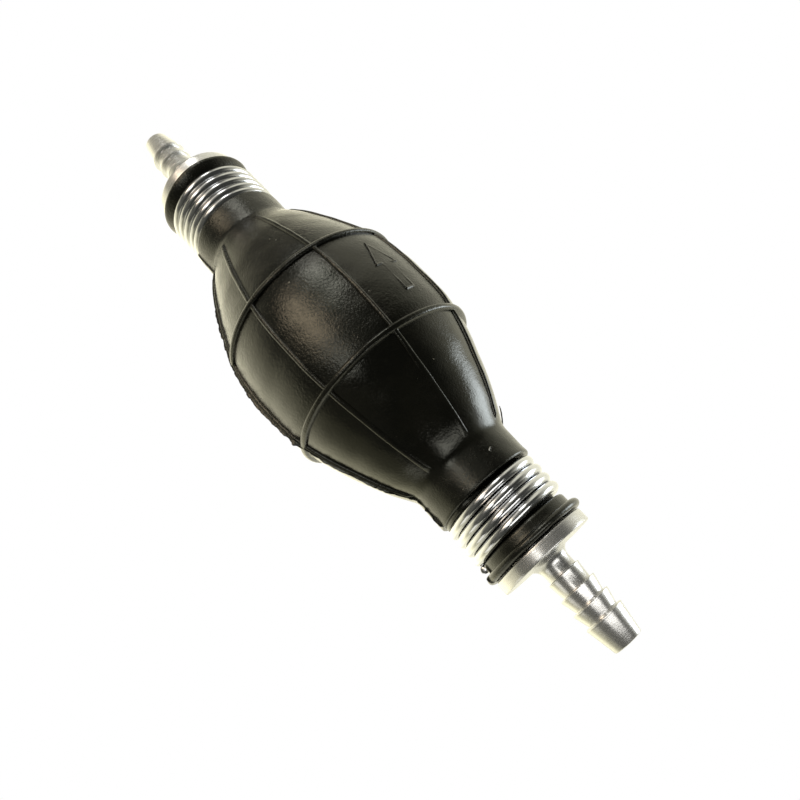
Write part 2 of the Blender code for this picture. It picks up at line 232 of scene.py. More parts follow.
def rubber_material(name, tone=(0.0034, 0.0035, 0.0025), brown=0.0, gloss=0.14, marks=False):
    mat, n, shader, place = start_material(name)
    mottle = n.noise(place, 120.0, 4.0, 0.6)              # about 8 mm
    grain = n.noise(place, 1950.0, 2.0, 0.65)             # about 0.5 mm
    fine = n.noise(place, 3700.0, 2.0, 0.6)
    x, rr, angle = turned_space(n, place)
    relief = n.add("ShaderNodeAttribute", attribute_name="relief").outputs["Fac"]
    neck = n.ramp01(n.math("ABSOLUTE", x), 36.2, 38.5)
    bloom = n.noise(place, 420.0, 5.0, 0.62, 0.4)
    specks = n.ramp01(n.cells(place, 300.0), 0.075, 0.035)
    speck_gate = n.ramp01(n.noise(place, 900.0, 1.0, 0.5), 0.53, 0.59)
    specks = n.math("MULTIPLY", specks, speck_gate)
    dark = tuple(c * 0.75 for c in tone)
    warm = (tone[0] * 1.5 + 0.012 * brown, tone[1] * 1.42 + 0.007 * brown,
            tone[2] * 1.3 + 0.003 * brown)
    colour = n.mix(n.ramp01(mottle, 0.35, 0.7), dark, warm)
    colour = n.mix(n.math("MULTIPLY", n.ramp01(bloom, 0.52, 0.78), 0.22), colour,
                   (0.016, 0.015, 0.011))
    colour = n.mix(n.math("MULTIPLY", specks, 0.85), colour, (0.26, 0.25, 0.21))
    rough = n.span(mottle, 0.3, 0.7, gloss - 0.03, gloss + 0.04)
    rough = n.math("ADD", rough, n.span(bloom, 0.3, 0.8, -0.02, 0.06))
    rough = n.math("ADD", rough, n.span(grain, 0.3, 0.7, -0.04, 0.04))
    rough = n.math("ADD", rough, n.math("MULTIPLY", relief, 0.30))
    rough = n.math("ADD", rough, n.math("MULTIPLY", neck, 0.09))
    height = n.math("ADD", n.math("MULTIPLY", grain, 1.0), n.math("MULTIPLY", fine, 0.6))
    height = n.math("ADD", height, n.math("MULTIPLY", specks, 0.5))
    height = n.math("MULTIPLY", height, n.span(x, -17.0, -10.0, 0.46, 1.0))
    normal = n.bump(height, 0.000070, 1.0)
    normal = n.bump(bloom, 0.00035, 0.11, normal)
    if marks:
        # a small slanting nick on the inlet collar, its lower lip in shadow; the pale colour along its upper
        # lip is a painted highlight
        dx = n.math("ADD", x, 40.05)
        da = n.math("MULTIPLY", n.math("SUBTRACT", angle, 99.0 / 360.0), 2 * math.pi * 11.9)
        along = n.math("ADD", n.math("MULTIPLY", dx, 0.52), n.math("MULTIPLY", da, 0.855))
        across = n.math("ADD", n.math("MULTIPLY", dx, 0.855), n.math("MULTIPLY", da, -0.52))
        bend = n.math("ADD", across, n.math("MULTIPLY", n.math("MULTIPLY", along, along), 0.35))
        inside = n.ramp01(n.math("ABSOLUTE", along), 0.55, 0.38)
        nick_painted_highlight = n.math("MULTIPLY", n.ramp01(n.math("ABSOLUTE", bend), 0.17, 0.06), inside)
        shade = n.math("MULTIPLY", n.ramp01(n.math("ABSOLUTE", n.math("ADD", bend, 0.30)),
                                            0.20, 0.06), inside)
        # painted highlight: pale colour laid along the nick's lit lip
        colour = n.mix(n.math("MULTIPLY", nick_painted_highlight, 0.8), colour, (0.30, 0.29, 0.25))
        rough = n.math("ADD", rough, n.math("MULTIPLY", shade, 0.5))
        normal = n.bump(n.math("SUBTRACT", nick_painted_highlight, shade), 0.0002, 0.7, normal)
    n.put(shader, "Base Color", colour)
    n.put(shader, "Roughness", rough)
    shader.inputs["Specular IOR Level"].default_value = 0.5
    shader.inputs["IOR"].default_value = 1.5
    shader.inputs["Specular Tint"].default_value = (0.985, 1.0, 0.90, 1.0)
    n.put(shader, "Normal", normal)
    return mat


def aluminium_material(name, tone=(0.61, 0.61, 0.605), gloss=0.24, grooves=1.0, metal=0.88, pale=False):
    mat, n, shader, place = start_material(name)
    x, rr, angle = turned_space(n, place)
    along = combine(n, n.math("MULTIPLY", x, 9.0), n.math("MULTIPLY", rr, 9.0),
                    n.math("MULTIPLY", angle, 1.6))
    tool = n.noise(along, 1.0, 4.0, 0.7)
    broad = n.noise(place, 260.0, 4.0, 0.6)
    fine = n.noise(place, 5200.0, 3.0, 0.6)
    colour = n.mix(n.ramp01(broad, 0.35, 0.75), tuple(c * 0.93 for c in tone), tone)
    colour = n.mix(n.math("MULTIPLY", n.ramp01(tool, 0.42, 0.30), 0.45), colour,
                   tuple(c * 0.66 for c in tone))
    colour = n.mix(n.math("MULTIPLY", n.ramp01(fine, 0.50, 0.36), 0.35), colour,
                   tuple(c * 0.70 for c in tone))
    if pale:            # the outlet end is duller, and made whiter with painted light
        end = n.ramp01(x, 56.0, 64.0)
        # painted light: the outlet end's colour is blended towards near-white, as if more brightly lit
        colour = n.mix(end, colour, (0.83, 0.83, 0.82))
        n.put(shader, "Metallic", n.span(end, 0.0, 1.0, 0.82, 0.78))
    else:
        n.put(shader, "Metallic", metal)
    n.put(shader, "Base Color", colour)
    rough = n.math("ADD", n.span(tool, 0.3, 0.7, gloss - 0.06, gloss + 0.08),
                   n.span(fine, 0.3, 0.7, -0.03, 0.04))
    n.put(shader, "Roughness", rough)
    normal = n.bump(tool, 0.00002 * grooves, 0.6)
    normal = n.bump(fine, 0.000012, 0.5, normal)
    n.put(shader, "Normal", normal)
    return mat


def wire_material(name):
    mat, n, shader, place = start_material(name)
    x, rr, angle = turned_space(n, place)
    drawn = n.noise(combine(n, n.math("MULTIPLY", x, 7.0), n.math("MULTIPLY", rr, 7.0),
                            n.math("MULTIPLY", angle, 3.5)), 1.0, 3.0, 0.65)
    crystals = n.noise(place, 2200.0, 3.0, 0.6)
    patch = n.noise(place, 300.0, 3.0, 0.6)
    colour = n.mix(n.ramp01(patch, 0.35, 0.7), (0.55, 0.56, 0.575), (0.62, 0.625, 0.635))
    colour = n.mix(n.math("MULTIPLY", n.ramp01(drawn, 0.40, 0.28), 0.4), colour,
                   (0.40, 0.41, 0.43))
    n.put(shader, "Base Color", colour)
    n.put(shader, "Metallic", 1.0)
    n.put(shader, "Roughness", n.math("ADD", n.span(drawn, 0.3, 0.7, 0.09, 0.2),
                                      n.span(crystals, 0.3, 0.7, -0.02, 0.03)))
    normal = n.bump(drawn, 0.00002, 0.5)
    normal = n.bump(crystals, 0.000012, 0.5, normal)
    n.put(shader, "Normal", normal)
    return mat


def plastic_material(name, tone, gloss=0.38):
    mat, n, shader, place = start_material(name)
    cloud = n.noise(place, 350.0, 4.0, 0.6)
    grain = n.noise(place, 3800.0, 2.0, 0.5)
    colour = n.mix(n.ramp01(cloud, 0.3, 0.7), tuple(c * 0.9 for c in tone), tone)
    n.put(shader, "Base Color", colour)
    n.put(shader, "Roughness", n.span(cloud, 0.3, 0.7, gloss - 0.06, gloss + 0.08))
    n.put(shader, "Subsurface Weight", 0.08)
    n.put(shader, "Normal", n.bump(grain, 0.00002, 0.4))
    return mat


RUBBER = rubber_material("moulded_rubber", marks=True)
NITRILE = rubber_material("nitrile", (0.010, 0.010, 0.010), 0.0, 0.40)
ALUMINIUM = aluminium_material("turned_aluminium")
ALUMINIUM_PAINTED_BRIGHT = aluminium_material("turned_aluminium_dull_painted_bright", gloss=0.27, pale=True)
ZINC = wire_material("zinc_wire")
STEEL = aluminium_material("spring_steel", (0.60, 0.60, 0.61), 0.24, 0.5)
ACETAL = plastic_material("acetal", (0.80, 0.80, 0.76))


# ============================================================ the rubber bulb
BASE = {  # smooth outer radius along |x|, on the inlet side and on the outlet side
    -1: [(0.0, 23.9), (4.5, 23.75), (8.8, 23.27), (11.7, 22.65), (14.1, 22.0), (19.0, 20.3),
         (25.0, 17.9), (31.0, 15.05), (36.1, 12.05), (40.0, 9.9)],
    1: [(0.0, 23.9), (4.5, 23.8), (8.8, 23.4), (11.7, 22.85), (14.1, 22.2), (19.0, 20.5),
        (25.0, 18.1), (31.0, 15.3), (36.1, 12.3), (40.0, 9.9)]}
COLLAR_R = 11.9
RING_AT, RING_R = {-1: 12.48, 1: 13.28}, {-1: 23.4, 1: 23.3}
RING_HALF = 0.80
RIB_HALF, RIB_PROUD = 0.62, 0.58
# degrees that each seen rib wanders from its even place, along x
RIB_DRIFT = {1: ([-36, -30, -25, -15, -5, 12, 17, 25, 36],
                 [-1.4, -0.7, -0.3, 0.2, 0.6, 0.6, 0.3, 0.0, -0.2]),
             2: ([-36, -25, -15, -5, 12, 36], [0.2, 0.4, 0.3, 0.4, 0.4, 0.4]),
             3: ([-36, -28, -20, -14, -8, 0, 8, 14, 36],
                 [2.9, 3.0, 4.0, 3.2, 1.8, 0.6, 0.3, 1.0, 1.1])}


def rib_angle(k, x):
    """Where rib k runs, in radians, at each x."""
    x = np.asarray(x, float)
    if k % 4 == 0:
        return np.full_like(x, math.radians(45 * k))
    if k in RIB_DRIFT:
        xs, ds = RIB_DRIFT[k]
        fine = np.linspace(-45, 45, 181)
        drift = np.interp(fine, xs, ds)
        kernel = np.hanning(17)
        drift = np.convolve(np.pad(drift, 8, mode="edge"), kernel / kernel.sum(), "valid")
        off = np.interp(x, fine, drift)
    else:
        off = 0.6 * wobble(x, 70 + k, 16.0)
    return np.radians(45 * k + off)


def base_radius(x):
    """Smooth outer radius of the bulb and its collar, without rings and ribs."""
    x = np.asarray(x, float)
    u = np.minimum(np.abs(x), 40.0)
    inlet, outlet = (pchip(*zip(*BASE[side]), u) for side in (-1, 1))
    cone = np.where(x < 0, inlet, outlet)
    soft = 0.28
    return soft * np.logaddexp(cone / soft, COLLAR_R / soft)


def bulb_stations(fine_x, side):
    """(u, r) along half the bulb, from the middle to its end, with the fine spacing given."""
    us = []
    ring = RING_AT[side]

    def run(a, b, step):
        k = max(1, int(round((b - a) / step)))
        us.extend(np.linspace(a, b, k + 1)[:-1].tolist())

    run(0.0, 9.0, fine_x)
    run(9.0, ring - 1.05, 0.4)
    run(ring - 1.05, ring + 1.05, 0.07)
    run(ring + 1.05, 34.6, 0.34)
    run(34.6, 37.4, 0.2)
    run(37.4, 43.5, 0.45)
    pts = [(u, float(base_radius(side * u))) for u in us]
    r = COLLAR_R
    pts += [(43.5, r), (43.75, r - 0.015), (43.93, r - 0.07), (44.04, r - 0.18),
            (44.09, r - 0.34), (44.11, r - 0.8), (44.13, 10.2), (44.2, 9.45),
            (44.45, 9.15), (44.8, 9.1), (44.95, 9.1), (45.1, 9.1)]
    pts += [(u, 9.1 if side < 0 else 9.75) for u in np.arange(45.8, 54.0, 1.1)]
    if side < 0:        # plain sleeve, then a bead
        pts += [(54.2, 9.1), (54.34, 9.25), (54.4, 9.7), (54.46, 10.1), (54.6, 10.42),
                (54.9, 10.58), (55.3, 10.62), (55.9, 10.64), (56.4, 10.66), (56.68, 10.70)]
        cu, cr, rad = 57.62, 11.24, 0.95
        for a in np.linspace(163, -20, 16):
            pts.append((cu + rad * math.cos(math.radians(a)) * 0.95,
                        cr + rad * math.sin(math.radians(a))))
        pts += [(58.55, 10.55)]
    else:               # sleeve that swells smoothly into its bead
        pts += [(54.6, 9.75), (54.75, 10.0), (54.9, 10.4), (55.1, 10.7), (55.3, 10.9),
                (55.5, 11.05), (55.8, 11.25), (56.2, 11.50), (56.7, 11.78), (57.1, 11.98),
                (57.5, 12.13), (57.85, 12.19), (58.15, 12.12), (58.4, 11.9), (58.52, 11.5),
                (58.55, 10.55)]
    out = [pts[0]]
    for p in pts[1:]:
        if math.hypot(p[0] - out[-1][0], p[1] - out[-1][1]) > 1e-4:
            out.append(p)
    return out


ARROW_AT = math.radians(114.7)
ARROW = [  # (x, across) to (x, across), strength at each end, in mm
    ((8.1, 0.0), (1.3, -2.85), 0.95, 1.25),
    ((8.1, 0.0), (4.6, 1.48), 0.26, 0.08),
    ((4.6, 1.48), (1.3, 2.85), 0.12, 0.45),
    ((1.3, -2.85), (1.3, -1.45), 1.15, 0.9),
    ((1.3, -1.45), (1.3, -1.15), 0.9, 0.3),
    ((1.3, 2.85), (1.3, 1.75), 0.8, 0.5),
    ((1.3, 1.75), (1.3, 1.15), 0.4, 0.1),
    ((1.3, -1.15), (-2.4, -1.15), 0.10, 0.05),
    ((-2.4, -1.15), (-6.4, -1.15), 0.12, 0.85),
    ((1.3, 1.15), (-2.4, 1.15), 0.04, 0.03),
    ((-2.4, 1.15), (-6.2, 1.15), 0.04, 0.40),
    ((-6.4, -1.15), (-6.2, 1.15), 0.95, 0.45),
]


def arrow_height(x, a):
    across = (a - ARROW_AT) * 23.0
    out = np.zeros_like(x)
    for (x0, s0), (x1, s1), k0, k1 in ARROW:
        dx, ds = x1 - x0, s1 - s0
        t = np.clip(((x - x0) * dx + (across - s0) * ds) / (dx * dx + ds * ds), 0, 1)
        d = np.hypot(x - x0 - t * dx, across - s0 - t * ds)
        k = k0 + (k1 - k0) * t
        out = np.maximum(out, np.minimum(k, 1.3) * 0.32 * (1 - smoothstep(0.10, 0.30, d)))
    return out


def rib_shape(d, half, power=2.3):
    q = np.clip(np.abs(d) / half, 0, 1.3)
    return np.sqrt(np.clip(1.0 - q ** power, 0.0, 1.0))


# how far the parting flash at 0 degrees stands above the skin, along x
FLASH_X = [-44.1, -43.4, -41.5, -38, -36.3, -35, -33.5, -28, -20, -14, -10, -5, 0, 5, 10, 14,
           20, 28, 33, 35, 36.3, 37.2, 44.1]
FLASH_H = [0.24, 0.42, 0.50, 0.42, 0.58, 0.80, 1.02, 1.08, 1.10, 1.08, 1.08, 0.98, 1.05, 1.06,
           0.92, 1.00, 1.10, 1.14, 1.10, 1.00, 0.78, 0.36, 0.30]


def skin_height(x, a, r0, upper):
    """How far the moulded skin stands above the smooth base, and where ribs and rings are."""
    u = np.abs(x)
    h = np.zeros_like(x)
    relief = np.zeros_like(x)
    # ring ribs
    for side in (-1, 1):
        d = (x - side * RING_AT[side]) / RING_HALF
        crest = RING_R[side] - base_radius(np.full(1, side * RING_AT[side]))[0]
        wave = 1 + 0.04 * np.sin(3 * a + side) + 0.03 * np.sin(7 * a + 2 * side)
        power = np.where(d < 0, 4.0, 2.0) if side < 0 else 2.3
        ring = np.clip(1 - np.abs(d) ** power, 0, 1) ** 0.5
        h = np.maximum(h, crest * wave * ring)
        if side > 0:
            relief = np.maximum(relief, 0.35 * (1 - smoothstep(0.95, 1.05, np.abs(d))))
    # lengthwise ribs
    fade = 1 - smoothstep(34.5, 35.6, u)
    for k in range(9):
        c = rib_angle(k, x)
        d = (a - c) * r0
        tall = RIB_PROUD * (1 + 0.07 * wobble(x, 31 + k, 3.1)) * fade
        if k in (1, 2):     # the ribs run out thinner on the inlet cone
            tall = tall * (1 - (0.80 if k == 2 else 0.50) * smoothstep(-15.0, -24.0, x))
        if k == 3:          # higher towards the inlet, its top falls away from the camera
            tall = tall * (1 + 0.28 * smoothstep(2.0, -10.0, x))
            tall = tall * (1 - 0.30 * np.clip(d / RIB_HALF + 1, 0, 2))
        shape = rib_shape(d, RIB_HALF)
        if k == 2:          # this one is narrower on top from the inlet ring on
            slim = smoothstep(-13.5, -12.0, x)
            shape = (1 - slim) * shape + slim * rib_shape(d, 0.56, 1.45)
        h = np.maximum(h, tall * shape)
        dull = {2: 0.1, 3: 0.6}.get(k, 0.3)
        dull = dull * np.where(x < -12.0, 0.45, 1.0)
        relief = np.maximum(relief, dull * fade * (1 - smoothstep(0.92, 1.05, np.abs(d) / RIB_HALF)))
    # parting line: torn flash on the ribs at 0 and 180 degrees and on the collars
    for c, seed in ((0.0, 50), (2 * math.pi, 50), (math.pi, 60)):
        d = (a - c) * r0
        body = 1 - smoothstep(35.4, 36.6, u)
        ragged = (0.16 * wobble(x, seed, 5.0) + 0.15 * steps_noise(x, seed + 1, 1.5)
                  + 0.09 * steps_noise(x, seed + 2, 0.6))
        neck = 0.14 * wobble(x, seed + 3, 2.0) + 0.18 * steps_noise(x, seed + 4, 0.7)
        if seed == 50:
            total = np.interp(x, FLASH_X, FLASH_H) + 0.8 * ragged * body
            total = total + neck * (1 - body) * (x < 0)
            total = total + 0.42 * np.exp(-((x + 10.9) / 0.6) ** 2)
        else:
            total = np.interp(u, [0, 33, 35, 36.5, 43, 44.1], [0.7, 0.7, 0.6, 0.3, 0.3, 0.15])
            total = total + 0.6 * ragged * body + 0.6 * neck * (1 - body)
        total = np.clip(total, 0.08, None)
        thick = 0.27 + 0.06 * wobble(x, seed + 5, 2.0)
        wide = 1.75 * thick if seed == 50 else 1.3 * thick
        fin = total * np.clip(1 - (np.abs(d) / wide) ** 1.25, 0, 1)
        h = np.maximum(h, np.where(u < 44.0, fin, 0.0))
        # the wide root of that rib
        h = np.maximum(h, (RIB_PROUD + 0.05) * fade * rib_shape(d, RIB_HALF * 1.12))
    if upper:
        h = np.maximum(h, arrow_height(x, a))
    # slow unevenness of a soft moulding
    live = (1 - smoothstep(42.5, 43.6, u))
    slow = (0.050 * np.sin(x * 0.31 + 2.1 * a) * np.sin(a * 3.0 + 0.6)
            + 0.035 * np.sin(x * 0.62 - 3.0 * a + 1.0)
            + 0.022 * np.sin(x * 1.15 + 5.0 * a) * np.sin(9 * a))
    return h + slow * live, relief


def inner_profile():
    pts = [(58.55, 7.6), (52.0, 7.6), (45.0, 7.6), (38.3, 7.6)]
    cav = [(36.9, 8.4), (31.0, 11.6), (25.0, 14.4), (19.0, 16.8), (12.5, 19.0), (6.0, 20.2),
           (0.0, 20.5)]
    us = [37.6, 36.9, 35.5, 34, 32.5, 31, 29, 27, 25, 23, 21, 19, 17, 15, 12.5, 10, 8, 6, 4, 2, 0]
    cx = [0, 6.0, 12.5, 19.0, 25.0, 31.0, 36.9, 38.3]
    cy = [20.5, 20.2, 19.0, 16.8, 14.4, 11.6, 8.4, 7.6]
    pts += [(u, float(pchip(cx, cy, np.array([u]))[0])) for u in us]
    return pts


def bulb_half(name, upper):
    first = 0.0 if upper else math.pi
    fine = 0.15 if upper else 0.6
    profile = [(-u, r) for u, r in reversed(bulb_stations(fine, -1))]
    profile += bulb_stations(fine, 1)[1:]
    xs = np.array([p[0] for p in profile])
    rs = np.array([p[1] for p in profile])
    # lines along the bulb: (rib, mm off it) or (between two ribs, fraction)
    edge = [0.0, 0.10, 0.18, 0.24, 0.30, 0.36, 0.42, 0.48, 0.55, 0.61, 0.67, 0.71, 0.78]
    inner = [0.0, 0.10, 0.20, 0.30, 0.38, 0.45, 0.51, 0.56, 0.60, 0.64, 0.70, 0.78]
    inner = [-v for v in reversed(inner[1:])] + inner
    first_rib = 0 if upper else 4
    columns = []
    for k in range(5):
        offs = edge if k == 0 else ([-e for e in reversed(edge)] if k == 4 else inner)
        columns += [("rib", first_rib + k, o) for o in offs]
        if k == 4:
            break
        if upper and k == 2:
            fr = list(np.linspace(0, 0.32, 7)[1:]) + list(np.linspace(0.32, 0.80, 64)[1:]) \
                + [0.88, 0.95]
        else:
            fr = list(np.linspace(0, 1, 16)[1:-1])
        columns += [("gap", first_rib + k, f) for f in fr]
    n_u, n_a = len(xs), len(columns)
    angles = np.zeros((n_u, n_a))
    guide = np.maximum(rs, 9.0)
    for j, (kind, k, v) in enumerate(columns):
        here = rib_angle(k, xs)
        if kind == "rib":
            angles[:, j] = here + v / guide
        else:
            lo, hi = here + 0.78 / guide, rib_angle(k + 1, xs) - 0.78 / guide
            angles[:, j] = lo + (hi - lo) * v
    grid_x = np.repeat(xs[:, None], n_a, 1)
    grid_r0 = np.repeat(guide[:, None], n_a, 1)
    height, relief = skin_height(grid_x, angles, grid_r0, upper)
    live = (np.abs(xs) < 44.105)[:, None]
    radius = rs[:, None] + np.where(live, height, 0.0)
    # the lip and sleeve are soft too
    lip = (np.abs(grid_x) > 54.6)
    radius = radius + np.where(lip, 0.05 * np.sin(2 * angles + grid_x) * smoothstep(54.6, 56, np.abs(grid_x))
                               + 0.03 * np.sin(5 * angles + 1.0), 0.0)
    for c in (0.0, math.pi, 2 * math.pi):
        d = np.abs(angles - c) * grid_r0
        seam = (0.42 + 0.12 * wobble(grid_x, 91, 0.5)) * np.clip(1 - (d / 0.5) ** 1.3, 0, 1)
        seam = seam * (grid_x < 0)
        radius = radius + np.where(lip, seam * smoothstep(54.6, 55.2, np.abs(grid_x)), 0.0)
    # rubber pressed out between the inlet collar and the first turn of wire
    off = np.abs((angles + math.pi) % (2 * math.pi) - math.pi)
    pressed = 9.1 + 2.0 * smoothstep(1.25, 0.5, off) * (1 - smoothstep(44.9, 45.2, -grid_x))
    radius = np.where((grid_x < -44.105) & (grid_x > -45.3), np.maximum(radius, pressed), radius)
    verts = np.stack([grid_x, radius * np.cos(angles), AXIS + radius * np.sin(angles)], -1)
    verts[:, :, 2] = np.maximum(verts[:, :, 2], 0.03)
    # ends of the half lie exactly on the parting plane
    verts[:, 0, 2] = AXIS
    verts[:, -1, 2] = AXIS
    outer = verts.reshape(-1, 3)
    faces = []
    for i in range(n_u - 1):
        row = i * n_a
        faces += [(row + j, row + n_a + j, row + n_a + j + 1, row + j + 1) for j in range(n_a - 1)]
    # inside wall
    ins = inner_profile()
    inside = [(-u, r) for u, r in ins] + [(u, r) for u, r in reversed(ins[:-1])]
    steps = 56
    ang_in = first + np.linspace(0, math.pi, steps + 1)
    m_u, m_a = len(inside), steps + 1
    iv = np.array([[(x, r * math.cos(a), AXIS + r * math.sin(a)) for a in ang_in]
                   for x, r in inside])
    iv[:, 0, 2] = AXIS
    iv[:, -1, 2] = AXIS
    base = len(outer)
    for i in range(m_u - 1):
        row = base + i * m_a
        faces += [(row + j, row + j + 1, row + m_a + j + 1, row + m_a + j) for j in range(m_a - 1)]
    allv = np.concatenate([outer, iv.reshape(-1, 3)])
    # flat faces that close the half: two on the parting plane, two at the ends
    o = lambda i, j: i * n_a + j
    q = lambda i, j: base + i * m_a + j
    faces.append([o(i, 0) for i in range(n_u)][::-1] + [q(i, 0) for i in range(m_u)])
    faces.append([o(i, n_a - 1) for i in range(n_u)] + [q(i, m_a - 1) for i in range(m_u)][::-1])
    faces.append([o(0, j) for j in range(n_a)] + [q(0, j) for j in range(m_a)][::-1])
    faces.append([o(n_u - 1, j) for j in range(n_a)][::-1] + [q(m_u - 1, j) for j in range(m_a)])
    obj = new_object(name, allv, faces, RUBBER, sharp=62)
    layer = obj.data.attributes.new("relief", "FLOAT", "POINT")
    values = np.zeros(len(allv), np.float32)
    values[:len(outer)] = np.where(live, relief, 0.0).reshape(-1)
    layer.data.foreach_set("value", values)
    return obj


upper_half = bulb_half("bulb_upper_half", True)
lower_half = bulb_half("bulb_lower_half", False)
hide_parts("bulb_body", "bulb_grip_upper")
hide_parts("bulb_body", "bulb_grip_lower")
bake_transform(upper_half)
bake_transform(lower_half)


def flash_sliver():
    """A thin torn strip of flash that has come away from the parting line near the neck."""
    spine = [(-35.35, 13.20), (-35.02, 13.62), (-34.2, 14.36), (-32.97, 15.30), (-32.2, 15.82),
             (-31.46, 16.22)]
    half = [0.16, 0.15, 0.14, 0.15, 0.13, 0.06]
    verts, faces = [], []
    for (x, r), h in zip(spine, half):
        for dr, dz in ((-h, -0.11), (h, -0.11), (h, 0.11), (-h, 0.11)):
            verts.append((x - dr * 0.8, -(r + dr * 0.6), AXIS + dz))
    for i in range(len(spine) - 1):
        for j in range(4):
            j2 = (j + 1) % 4
            faces.append((i * 4 + j, i * 4 + j2, (i + 1) * 4 + j2, (i + 1) * 4 + j))
    faces.append((3, 2, 1, 0))
    k = (len(spine) - 1) * 4
    faces.append((k, k + 1, k + 2, k + 3))
    obj = new_object("bulb_flash_sliver", verts, faces, RUBBER, sharp=30)
    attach(obj, "pump_body")


flash_sliver()


# ================================================================== fittings
def turned(name, profile, steps, side, material, sharp=30):
    """A closed profile of (u, r) points turned round the pump's axis."""
    p = np.array(profile, float)
    a = np.linspace(0, 2 * math.pi, steps, endpoint=False)
    verts = np.stack([np.repeat(side * p[:, 0][:, None], steps, 1),
                      p[:, 1][:, None] * np.cos(a)[None],
                      AXIS + p[:, 1][:, None] * np.sin(a)[None]], -1).reshape(-1, 3)
    faces = []
    m = len(p)
    for i in range(m):
        k = (i + 1) % m
        for j in range(steps):
            j2 = (j + 1) % steps
            f = (i * steps + j, k * steps + j, k * steps + j2, i * steps + j2)
            faces.append(f if side > 0 else f[::-1])
    return new_object(name, verts, faces, material, sharp)


def arc(cu, cr, rad, a0, a1, count):
    return [(cu + rad * math.cos(math.radians(a)), cr + rad * math.sin(math.radians(a)))
            for a in np.linspace(a0, a1, count)]


TEETH = [(65.8, 3.85), (69.45, 4.3), (72.85, 4.38), (76.25, 4.43)]
ROOTS = [3.42, 3.5, 3.52, 3.5]       # at the next crest, going to the tip


def barb_outline():
    """Outside of a fitting, from the hose tip to the spigot's end."""
    pts = [(82.5, 2.95)]
    pts += arc(82.2, 3.0, 0.3, 0, 75, 5)
    crests = list(reversed(TEETH))
    for n_, (crest, radius) in enumerate(crests):
        # gentle cone up to the crest, a small worn land, then the steep back
        pts += [(crest + 0.55, radius - 0.11), (crest + 0.26, radius - 0.045)]
        pts += arc(crest + 0.12, radius - 0.12, 0.12, 80, 175, 6)
        root = ROOTS[len(crests) - 2 - n_] if n_ < len(crests) - 1 else 3.25
        pts += [(crest - 0.03, radius - 0.3), (crest - 0.07, root + 0.12),
                (crest - 0.13, root + 0.03), (crest - 0.25, root)]
    # stem and the hollow curve into the flange
    pts += [(64.55, 3.25)]
    pts += [(61.65 + 2.35 - 2.35 * math.sin(math.radians(t)),
             3.25 + 2.35 - 2.35 * math.cos(math.radians(t))) for t in np.linspace(8, 88, 12)]
    pts += [(61.65, 6.2), (61.65, 8.5), (61.65, 10.6), (61.63, 10.72)]
    pts += arc(61.38, 10.73, 0.27, 20, 85, 4)
    pts += [(60.9, 11.0), (59.6, 11.0)]
    pts += arc(59.12, 10.73, 0.27, 95, 175, 4)
    pts += [(58.85, 10.3), (58.85, 7.4), (58.7, 7.3), (50.0, 7.3), (39.6, 7.3)]
    pts += [(39.2, 7.15), (39.0, 6.8)]
    return pts


inlet_inside = [(39.0, 5.3), (43.3, 5.3), (43.3, 6.0), (44.6, 6.0), (44.6, 5.3), (47.1, 5.3),
                (47.1, 4.9), (56.7, 4.9), (59.4, 2.2), (82.1, 2.2), (82.35, 2.3), (82.5, 2.55)]
outlet_inside = [(39.0, 5.3), (40.9, 5.3), (40.9, 6.0), (42.2, 6.0), (42.2, 5.3), (46.7, 5.3),
                 (46.7, 4.9), (57.9, 4.9), (57.9, 3.6), (59.3, 2.2), (82.1, 2.2), (82.35, 2.3),
                 (82.5, 2.55)]
for name, side, inside in (("inlet", -1, inlet_inside), ("outlet", 1, outlet_inside)):
    piece = turned(name + "_turned_fitting", barb_outline() + inside, 144, side,
                   ALUMINIUM if side < 0 else ALUMINIUM_PAINTED_BRIGHT, 28)
    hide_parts(name + "_fitting")
    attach(piece, "pump_body")


# ================================================================ wire clamps
def swept(name, path, thick, sides, material):
    """A round wire through the path's points, its cut ends slightly domed."""
    p = np.array(path, float)
    t = np.gradient(p, axis=0)
    t /= np.linalg.norm(t, axis=1)[:, None]
    centre = np.stack([p[:, 0], np.zeros(len(p)), np.full(len(p), AXIS)], -1)
    out = p - centre
    out -= (out * t).sum(1)[:, None] * t
    out /= np.linalg.norm(out, axis=1)[:, None]
    other = np.cross(t, out)
    a = np.linspace(0, 2 * math.pi, sides, endpoint=False)

    def ring(i, off=0.0, k=1.0):
        return p[i] + t[i] * off + thick[i] * k * (np.cos(a)[:, None] * out[i]
                                                   + np.sin(a)[:, None] * other[i])

    rings = [ring(0, -0.10, 0.80), ring(0, -0.03, 0.95)]
    rings += [ring(i) for i in range(len(p))]
    rings += [ring(-1, 0.03, 0.95), ring(-1, 0.10, 0.80)]
    verts = np.concatenate(rings)
    faces = []
    for i in range(len(rings) - 1):
        for j in range(sides):
            j2 = (j + 1) % sides
            faces.append((i * sides + j, i * sides + j2, (i + 1) * sides + j2, (i + 1) * sides + j))
    faces.append([j for j in range(sides)][::-1])
    faces.append([(len(rings) - 1) * sides + j for j in range(sides)])
    return new_object(name, verts, faces, material, 50)


WIRE_R, PITCH = 1.13, 2.34
FIRST, MEAN_R = {-1: 45.8, 1: 46.75}, {-1: 10.42, 1: 10.92}


